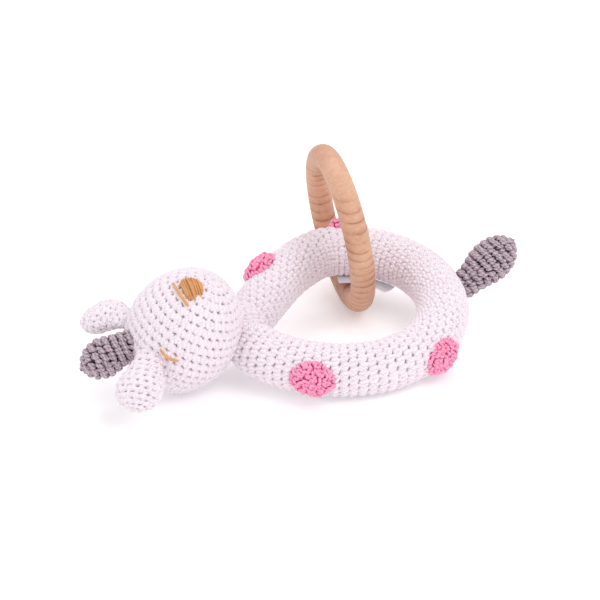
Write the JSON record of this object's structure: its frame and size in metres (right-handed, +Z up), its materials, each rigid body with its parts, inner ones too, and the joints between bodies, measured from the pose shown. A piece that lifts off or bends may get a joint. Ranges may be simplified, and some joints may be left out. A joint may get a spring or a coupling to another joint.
{
  "type": "crocheted baby rattle",
  "caption": "Crocheted loop rattle with a sleepy animal head, raised pink spots, a grey forelock and tail, and a wooden teething ring threaded on the loop.",
  "frame": {"origin": "on the table plane, under the middle of the whole toy's box in its rest pose, lying on the head, one side of the loop and the wooden ring", "axes": "+Z up from the table, +X from the head towards the tail, +Y towards the side of the loop that carries the ring"},
  "size_m": [0.1836, 0.1128, 0.0698],
  "materials": {
    "white_yarn": "undyed white cotton crochet",
    "pink_yarn": "pink cotton crochet",
    "grey_yarn": "grey mercerised cotton crochet, slightly glossy",
    "gold_thread": "glossy embroidery thread",
    "beech": "untreated sanded beech",
    "satin": "white woven satin ribbon",
    "filling": "polyester fibre",
    "capsule_plastic": "moulded plastic",
    "bead_steel": "small steel shot"
  },
  "bodies": {
    "loop": {"body_cover": "white_yarn", "body_stuffing": "filling", "spot_near_head": "pink_yarn", "spot_near_tail": "pink_yarn", "spot_far_head": "pink_yarn", "spot_far_tail": "pink_yarn", "care_label": "satin"},
    "head": {"head_cover": "white_yarn", "head_stuffing": "filling", "capsule_lower": "capsule_plastic", "capsule_upper": "capsule_plastic", "nose_patch": "gold_thread", "nose_strand": "gold_thread", "eye_near": "gold_thread", "eye_far": "gold_thread"},
    "ring": {"wooden_ring": "beech"},
    "ear_near": {"ear_near": "white_yarn"},
    "ear_far": {"ear_far": "white_yarn"},
    "forelock": {"forelock_cover": "grey_yarn", "forelock_stuffing": "filling"},
    "tail": {"tail_cover": "grey_yarn", "tail_stuffing": "filling"},
    "bead_1": {"bead_1": "bead_steel"},
    "bead_2": {"bead_2": "bead_steel"},
    "bead_3": {"bead_3": "bead_steel"},
    "bead_4": {"bead_4": "bead_steel"}
  },
  "joints": [
    {"name": "ring_travel", "type": "hinge", "parent": "loop", "child": "ring", "pos_m": [0.01724, -0.00704, 0.0059], "axis": [0, -0.1582, 0.9874], "range_deg": [-55, 50]},
    {"name": "head_nod", "type": "hinge", "parent": "loop", "child": "head", "pos_m": [-0.02726, -0.0051, 0.01659], "axis": [0, 0.9874, 0.1582], "range_deg": [-10, 20], "stiffness_Nm_per_rad": 0.6},
    {"name": "ear_near_flap", "type": "hinge", "parent": "head", "child": "ear_near", "pos_m": [-0.06876, -0.02267, 0.02385], "axis": [-0.8161, 0.5706, 0.0914], "range_deg": [-12, 35], "stiffness_Nm_per_rad": 0.02},
    {"name": "ear_far_flap", "type": "hinge", "parent": "head", "child": "ear_far", "pos_m": [-0.06956, 0.00331, 0.02852], "axis": [0.8161, 0.5706, 0.0914], "range_deg": [-12, 35], "stiffness_Nm_per_rad": 0.02},
    {"name": "forelock_bend", "type": "hinge", "parent": "head", "child": "forelock", "pos_m": [-0.07356, -0.00965, 0.02412], "axis": [0, 0.9874, 0.1582], "range_deg": [-10, 30], "stiffness_Nm_per_rad": 0.02},
    {"name": "tail_bend", "type": "hinge", "parent": "loop", "child": "tail", "pos_m": [0.06904, -0.01027, 0.0147], "axis": [0.1564, -0.9753, -0.1562], "range_deg": [-30, 20], "stiffness_Nm_per_rad": 0.03},
    {"name": "bead_1_hop", "type": "slide", "parent": "head", "child": "bead_1", "axis": [0, 0, 1], "range_m": [0, 0.01439]},
    {"name": "bead_2_hop", "type": "slide", "parent": "head", "child": "bead_2", "axis": [0, 0, 1], "range_m": [0, 0.01439]},
    {"name": "bead_3_hop", "type": "slide", "parent": "head", "child": "bead_3", "axis": [0, 0, 1], "range_m": [0, 0.01439]},
    {"name": "bead_4_hop", "type": "slide", "parent": "head", "child": "bead_4", "axis": [0, 0, 1], "range_m": [0, 0.01439]}
  ]
}
